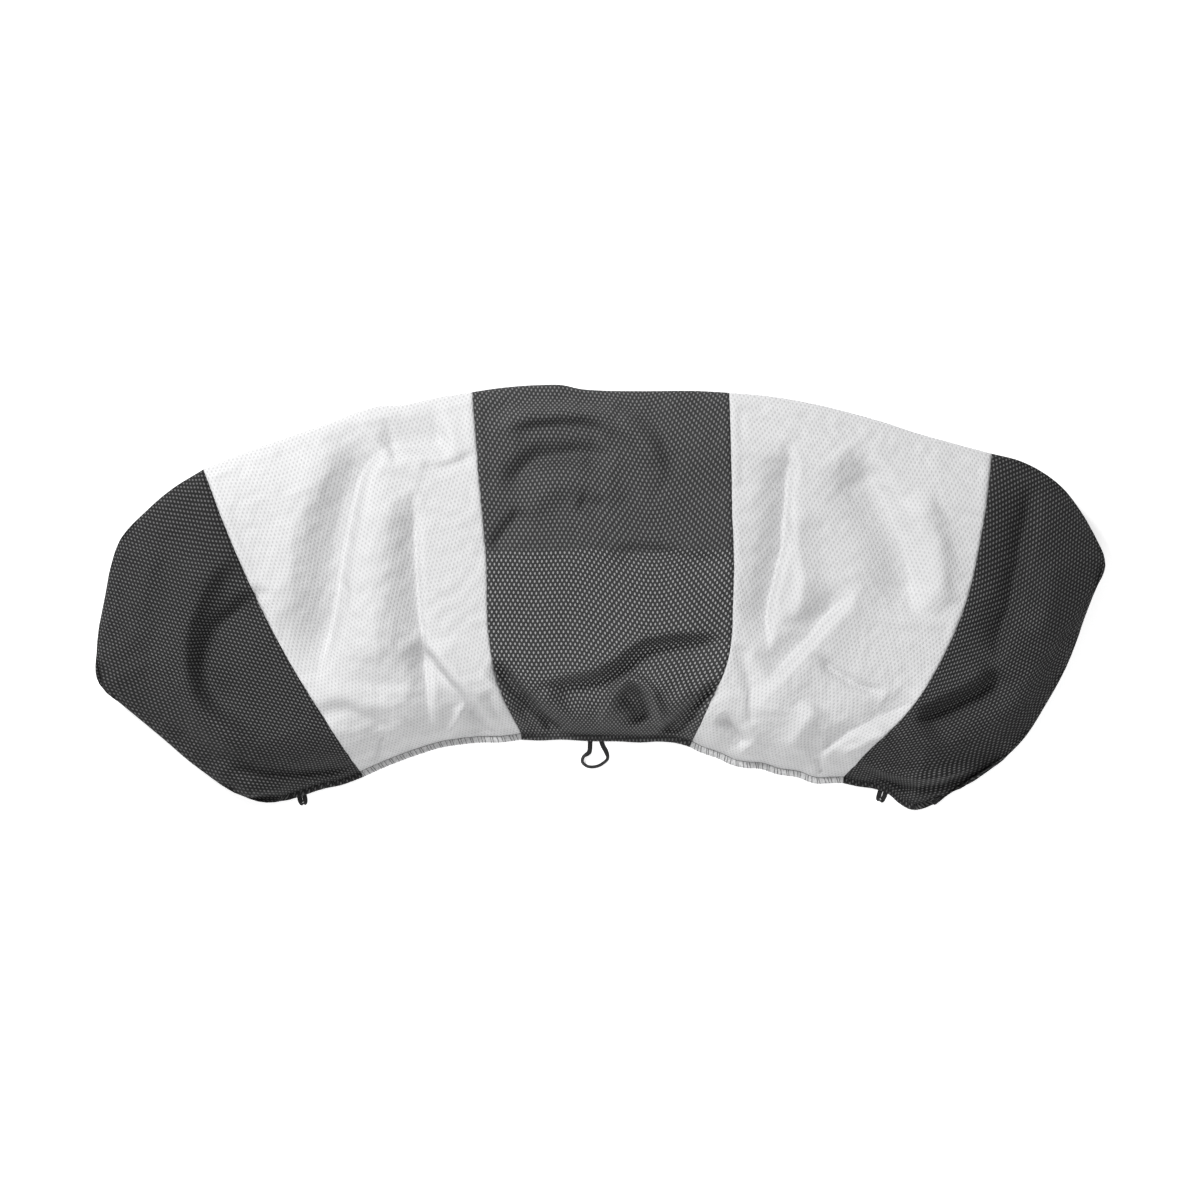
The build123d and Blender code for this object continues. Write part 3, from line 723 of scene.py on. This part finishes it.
def mesh_cloth(name, yarn, yarn_light, eye, eye_alpha, roughness):
    """Warp-knitted fly mesh: staggered upright eyes between thick yarns, drawn on the flat pattern."""
    paint = Paint(name)
    place, across, along = paint.place()
    column = paint.math("DIVIDE", across, FLAT_PITCH[0])
    row = paint.math("DIVIDE", along, FLAT_PITCH[1])
    odd = paint.math("MODULO", paint.math("FLOOR", row), 2.0)
    shifted = paint.math("MULTIPLY_ADD", odd, 0.5, column)
    x = paint.math("SUBTRACT", paint.math("FRACT", shifted), 0.5)
    y = paint.math("SUBTRACT", paint.math("FRACT", row), 0.5)
    wide = paint.math("POWER", paint.math("DIVIDE", x, EYE[0]), 2.0)
    tall = paint.math("POWER", paint.math("DIVIDE", y, EYE[1]), 2.0)
    reach = paint.math("SQRT", paint.math("ADD", wide, tall))
    hole = paint.ramp(reach, 1.12, 0.72)
    ply = paint.node("TexWave", Scale=620.0, Distortion=2.2, Detail=1.0)
    ply.wave_type = "BANDS"
    ply.bands_direction = "DIAGONAL"
    paint.feed(ply.inputs["Vector"], place)
    cloudy = paint.node("TexNoise", Scale=38.0, Detail=3.0)
    paint.feed(cloudy.inputs["Vector"], place)
    body = paint.mix(ply.outputs["Fac"], yarn, yarn_light)
    worn = paint.mix(paint.ramp(cloudy.outputs["Fac"], 0.3, 0.75, 0.0, 0.35), body, yarn_light)
    # Each eye is only partly see-through by Alpha. Its own colour is painted light under the black mesh,
    # where it stands for the lit floor seen through the hole, and painted shade under the white mesh.
    paint.surface("Base Color", paint.mix(hole, worn, eye))
    paint.surface("Alpha", paint.ramp(hole, 0.0, 1.0, 1.0, eye_alpha))
    paint.surface("Roughness", paint.ramp(ply.outputs["Fac"], 0.0, 1.0, roughness, roughness - 0.12))
    paint.surface("Sheen Weight", 0.03)
    paint.surface("Sheen Roughness", 0.5)
    paint.surface("Specular IOR Level", 0.1)
    height = paint.math("MULTIPLY_ADD", ply.outputs["Fac"], 0.18, paint.ramp(reach, 0.6, 1.5))
    paint.bump(height, 0.55, 0.0005)
    return paint.material


def ribbed_elastic():
    """Flat woven elastic: fine ribs along the ribbon."""
    paint = Paint("black_elastic")
    _, along, across = paint.place()
    rib = paint.math("SINE", paint.math("MULTIPLY", across, 2 * pi / 0.0008))
    pick = paint.math("SINE", paint.math("MULTIPLY", along, 2 * pi / 0.0007))
    height = paint.math("MULTIPLY_ADD", pick, 0.35, rib)
    tone = paint.ramp(height, -1.2, 1.2)
    paint.surface("Base Color", paint.mix(tone, (0.008, 0.008, 0.008), (0.03, 0.03, 0.031)))
    paint.surface("Roughness", paint.ramp(tone, 0.0, 1.0, 0.85, 0.65))
    paint.surface("Sheen Weight", 0.05)
    paint.surface("Specular IOR Level", 0.25)
    paint.bump(height, 0.5, 0.0002)
    return paint.material


def spun_thread():
    """Black sewing thread with its twist."""
    paint = Paint("black_thread")
    twist = paint.node("TexNoise", Scale=1400.0)
    paint.feed(twist.inputs["Vector"], paint.node("TexCoord").outputs["Object"])
    paint.surface("Base Color", paint.mix(twist.outputs["Fac"], (0.012, 0.012, 0.012), (0.05, 0.05, 0.051)))
    paint.surface("Roughness", paint.ramp(twist.outputs["Fac"], 0.3, 0.7, 0.65, 0.45))
    paint.bump(twist.outputs["Fac"], 0.4, 0.0001)
    return paint.material


def ribbon(name, line, across, width, thickness, material, closed=False):
    """A flat elastic ribbon along a line. across is the unit way that its width points at each step."""
    along = np.gradient(line, axis=0)
    if closed:
        along = np.roll(line, -1, axis=0) - np.roll(line, 1, axis=0)
    along /= np.linalg.norm(along, axis=1)[:, None]
    across = across - (across * along).sum(axis=1)[:, None] * along
    across /= np.linalg.norm(across, axis=1)[:, None]
    upward = np.cross(across, along)
    shape = np.array(RIBBON_SECTION) * [width / 2, thickness / 2]
    rings = line[:, None] + shape[None, :, :1] * across[:, None] + shape[None, :, 1:] * upward[:, None]
    count = len(shape)
    faces = grid_faces(len(line), count, wrap=True).tolist()
    last = (len(line) - 1) * count
    if closed:
        for k in range(count):
            following = (k + 1) % count
            faces.append([last + k, last + following, following, k])
    else:
        faces.append(list(range(count))[::-1])
        faces.append([last + k for k in range(count)])
    run = arc(line)
    uv = np.stack([np.repeat(run, count), np.tile(shape[:, 0], len(line))], axis=1)
    return add_mesh(name, rings.reshape(-1, 3), faces, material, uv)


def make_cloth(grid, borders, materials):
    """The five strips of mesh, each one piece from its front hem to its back hem."""
    drawn = draw_in_corners(grid, borders)
    for panel, (first, last) in zip(PANELS, panel_ranges()):
        part = drawn[:, first : last + 1]
        faces = grid_faces(*part.shape[:2])
        uv = pattern_coordinates(grid, first, last, borders)
        piece = add_mesh(panel.name, part.reshape(-1, 3), faces, materials[panel.look], uv.reshape(-1, 2))
        thicken(piece, CLOTH)
        put_on_cover(piece, panel.node)


def ring_line(borders, height):
    """The closed line of the hem at one height: along the front and back again under the cover."""
    front = np.column_stack([borders["front"], height + hem_wave(arc(borders["front"]))])
    back = np.column_stack([borders["back"], np.full(len(borders["back"]), height)])
    return np.vstack([front[RING_ENDS], back[RING_ENDS][::-1]])


def thread_piece(name, paths, radius, materials, node):
    """Thread along one or more paths, as one piece on the cover."""
    points, faces = tubes(paths, radius)
    piece = add_mesh(name, points, faces, materials["thread"])
    put_on_cover(piece, node)


def make_hem(borders, materials):
    """The elastic in the hem, its lap stitches, and the overlock thread round the hem."""
    line = ring_line(borders, ELASTIC_HEIGHT)
    for _ in range(6):
        line[:, 2] = (np.roll(line[:, 2], 1) + line[:, 2] + np.roll(line[:, 2], -1)) / 3
    outward = on_plan(np.vstack([borders["front_out"][RING_ENDS], borders["back_out"][RING_ENDS][::-1]]))
    elastic = ribbon("hem_elastic_ribbon", line, outward, 5 * MM, 0.8 * MM, materials["elastic"], closed=True)
    put_on_cover(elastic, "hem_elastic")
    zigzag = []
    low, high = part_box("elastic_lap_stitches")
    for k in range(13):
        x = low[0] + (high[0] - low[0]) * k / 12
        y = low[1] + (high[1] - low[1]) * (0.2 + 0.6 * (k % 2))
        zigzag.append((x, y, ELASTIC_HEIGHT + 0.47 * MM))
    thread_piece("elastic_lap_zigzag", [curve(zigzag, 72)], 0.16 * MM, materials, "elastic_lap_stitches")
    loops, needles = [], []
    for name in ("front", "back"):
        side_loops, needle = overlock_paths(borders, name)
        loops += side_loops
        needles.append(needle)
    points, faces = tubes(loops, 0.26 * MM, sides=5)
    line_points, line_faces = tubes(needles, 0.45 * MM)
    faces += [[corner + len(points) for corner in face] for face in line_faces]
    thread = add_mesh("hem_overlock_thread", np.vstack([points, line_points]), faces, materials["thread"])
    put_on_cover(thread, "hem_overlock_stitches")


def overlock_paths(borders, name):
    """Thread of an overlocked hem: the loops round its free edge, and the needle line they start from."""
    base, outward = borders[name], borders[f"{name}_out"]
    run = arc(base)
    loops, needle = [], []
    for number, spot in enumerate(np.arange(OVERLOCK_PITCH, run[-1] - OVERLOCK_PITCH, OVERLOCK_PITCH)):
        lean = 0.55 * OVERLOCK_PITCH * np.sin(number * 2.4) * 0.5
        loop = []
        for offset, level in OVERLOCK_SECTION:
            place = spot + lean + OVERLOCK_PITCH * 0.45 * (offset + 2.3) / 6.7
            x, y = (np.interp(place, run, base[:, k]) for k in (0, 1))
            nx, ny = (np.interp(place, run, outward[:, k]) for k in (0, 1))
            if name == "front":
                amount, height = offset * MM, level * MM + hem_wave(place)
            else:
                amount, height = -offset * MM, (HEM_TURNOVER - level) * MM
            loop.append((x + nx * amount, y + ny * amount, max(height, 0.25 * MM)))
        loops.append(curve(loop, 9))
        needle.append(loop[0])
    return loops, curve(needle, len(needle) * 2)


def make_seams(grid, materials):
    """The thread over the sewn allowance on the inside of each seam: slanting stitches between two lines."""
    first_row, last_row = len(HEM_SECTION) + 3, grid.shape[0] - len(HEM_SECTION) - 4
    for number, (column, _) in enumerate(panel_ranges()[1:], 1):
        line = grid[first_row:last_row, column]
        beside = grid[first_row:last_row, column + 1] - grid[first_row:last_row, column - 1]
        beside /= np.linalg.norm(beside, axis=1)[:, None]
        along = np.gradient(line, axis=0)
        along /= np.linalg.norm(along, axis=1)[:, None]
        inward = np.cross(along, beside)
        inward /= np.linalg.norm(inward, axis=1)[:, None]
        base = resample(np.hstack([line, beside, inward]), int(arc(line)[-1] / SEAM_PITCH))
        centre, across, depth = base[:, :3], base[:, 3:6], base[:, 6:]
        left = centre + depth * 0.75 * MM - across * SEAM_HALF
        paths = []
        for k in range(len(centre) - 1):
            right = centre[k + 1] + depth[k] * 0.75 * MM + across[k] * SEAM_HALF
            paths.append([left[k], (centre[k] + centre[k + 1]) / 2 + depth[k] * 1.0 * MM, right])
        for shift in (-SEAM_HALF, SEAM_HALF):
            paths.append(centre + depth * 0.8 * MM + across * shift)
        points, faces = tubes(paths, 0.22 * MM, sides=5)
        points[:, 2] = np.maximum(points[:, 2], 0.2 * MM)
        piece = add_mesh(f"seam_{number}_thread", points, faces, materials["thread"])
        put_on_cover(piece, f"seam_{number}_overlock")


def on_floor(line, across, width, thickness):
    """Sets the height of a ribbon's middle line so that its lower edge rests on the floor at each step."""
    across /= np.linalg.norm(across, axis=1)[:, None]
    upright = across[:, 2]
    line[:, 2] = 0.08 * MM + width / 2 * upright + thickness / 2 * np.sqrt(1 - upright**2)


def make_centre_loop(materials):
    """The pull loop: two flat legs from under the hem, and between them the ribbon stands on its edge."""
    width, thickness = 4.8 * MM, 0.9 * MM
    line = on_plan(curve(np.array(CENTRE_LOOP) * MM, 96))
    share = arc(line) / arc(line)[-1]
    standing = 0.58 * smooth_step((share - 0.17) / 0.13) * smooth_step((0.83 - share) / 0.13)
    across = on_plan(side(line)) * (1 - standing)[:, None] + UP * standing[:, None]
    on_floor(line, across, width, thickness)
    piece = ribbon("centre_loop_ribbon", line, across, width, thickness, materials["elastic"])
    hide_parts("centre_loop", "centre_loop_tails")
    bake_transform(piece)
    low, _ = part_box("centre_loop_bar_tacks")
    tacks = []
    for x in (-10.8, -0.8):
        tacks.append(bar_tack(np.array([x * MM, low[1] + 1 * MM, HEM_TOP]), np.array([1.0, 0, 0]), 5 * MM))
    thread_piece("centre_loop_tack_thread", tacks, TACK_THREAD, materials, "centre_loop_bar_tacks")


def bar_tack(centre, along, length):
    """The path of a dense zigzag of thread across the hem."""
    across = np.array([-along[1], along[0], 0.0])
    points = []
    for k in range(17):
        reach = along * length * (k / 16 - 0.5) + across * (0.9 * MM if k % 2 else -0.9 * MM)
        points.append(centre + reach + UP * hem_wave(TACK_STATION))
    return curve(points, 80)


def make_short_loop(name, joint, reach, gap, materials):
    """A short loop: the ribbon comes out from under the hem, turns back beside itself and goes under again.

    It reaches forward from the hem by reach, and its two legs are twice gap apart.
    """
    width, thickness = 4.9 * MM, 0.8 * MM
    turn = np.array(joint["axis"][:2], float)
    out = np.array([-turn[1], turn[0]])
    along = np.array([-out[1], out[0]])
    pivot = np.array(joint["pos_m"][:2], float)
    start = -6.5 * MM
    outline = [
        (-gap, start),
        (-gap, 0),
        (-gap * 0.96, reach * 0.55),
        (-gap * 0.55, reach * 0.92),
        (gap * 0.55, reach * 0.95),
        (gap * 0.96, reach * 0.6),
        (gap, 0),
        (gap, start),
    ]
    line = on_plan(curve([pivot + along * sideways + out * forward for sideways, forward in outline], 60))
    share = arc(line) / arc(line)[-1]
    standing = 0.75 * smooth_step((share - 0.4) / 0.08) * smooth_step((0.6 - share) / 0.08)
    across = on_plan(side(line)) * (1 - standing)[:, None] + UP * standing[:, None]
    on_floor(line, across, width, thickness)
    piece = ribbon(f"{name}_ribbon", line, across, width, thickness, materials["elastic"])
    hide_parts(name, f"{name}_tail")
    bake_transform(piece)
    low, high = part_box(f"{name}_bar_tack")
    centre = (np.array(low) + np.array(high)) / 2
    centre[2] = HEM_TOP
    tack = bar_tack(centre, np.array([*along, 0.0]), 9 * MM)
    thread_piece(f"{name}_tack_thread", [tack], TACK_THREAD, materials, f"{name}_bar_tack")


def make_stage():
    """A plain white floor, soft light from above and a key light from the upper left, and the camera."""
    paint = Paint("floor_paper")
    grain = paint.node("TexNoise", Scale=600.0)
    paint.surface("Base Color", paint.mix(grain.outputs["Fac"], (0.93, 0.93, 0.93), (0.95, 0.95, 0.95)))
    paint.surface("Roughness", 0.9)
    paint.surface("Specular IOR Level", 0.1)
    paint.surface("Emission Color", (1, 1, 1))
    paint.surface("Emission Strength", 0.55)
    corners = [(-FLOOR_REACH, -FLOOR_REACH, 0), (FLOOR_REACH, -FLOOR_REACH, 0), (FLOOR_REACH, FLOOR_REACH, 0)]
    floor = add_mesh("floor", [*corners, (-FLOOR_REACH, FLOOR_REACH, 0)], [(0, 1, 2, 3)], paint.material)
    world = bpy.data.worlds.new("soft_surround")
    world.use_nodes = True
    world.node_tree.nodes["Background"].inputs[0].default_value = (1, 1, 1, 1)
    world.node_tree.nodes["Background"].inputs[1].default_value = 0.28
    bpy.context.scene.world = world
    for name, place, size, power in (
        ("key", (-1.65, 1.7, 2.35), 0.9, 106),
        ("fill", (0.5, -1.7, 2.6), 2.4, 37),
    ):
        light = bpy.data.lights.new(name, "AREA")
        light.size = size
        light.energy = power
        lamp = bpy.data.objects.new(name, light)
        lamp.location = place
        lamp.rotation_euler = aim(place)
        bpy.context.scene.collection.objects.link(lamp)
    lens = bpy.data.cameras.new("camera")
    lens.lens = 135
    lens.sensor_width = 36
    camera = bpy.data.objects.new("camera", lens)
    camera.location = (-0.0008, -0.0026, CAMERA_DISTANCE + RIM_HEIGHT)
    bpy.context.scene.collection.objects.link(camera)
    bpy.context.scene.camera = camera
    bpy.context.scene.view_settings.view_transform = "Standard"


def aim(place):
    """The rotation that points a light at the middle of the cover."""
    return (-Vector(place)).to_track_quat("-Z", "Y").to_euler()


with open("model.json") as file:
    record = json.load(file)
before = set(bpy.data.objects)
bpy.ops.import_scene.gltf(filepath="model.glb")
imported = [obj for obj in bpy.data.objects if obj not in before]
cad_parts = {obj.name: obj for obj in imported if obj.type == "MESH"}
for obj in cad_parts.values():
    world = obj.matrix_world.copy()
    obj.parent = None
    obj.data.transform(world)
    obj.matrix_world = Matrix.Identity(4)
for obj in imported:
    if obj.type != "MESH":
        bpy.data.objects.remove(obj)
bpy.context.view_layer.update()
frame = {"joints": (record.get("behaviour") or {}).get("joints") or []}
materials = {
    "elastic": ribbed_elastic(),
    "thread": spun_thread(),
}
for look, (name, *values) in MESH_LOOKS.items():
    materials[look] = mesh_cloth(name, *values)
make_stage()
grid, borders = build_grid()
settle(grid)
make_cloth(grid, borders, materials)
make_hem(borders, materials)
make_seams(grid, materials)
make_centre_loop(materials)
joints = {joint["name"]: joint for joint in frame["joints"]}
make_short_loop("left_loop", joints["left_loop_swing"], 7 * MM, 2.5 * MM, materials)
make_short_loop("right_loop", joints["right_loop_swing"], 10 * MM, 2.7 * MM, materials)
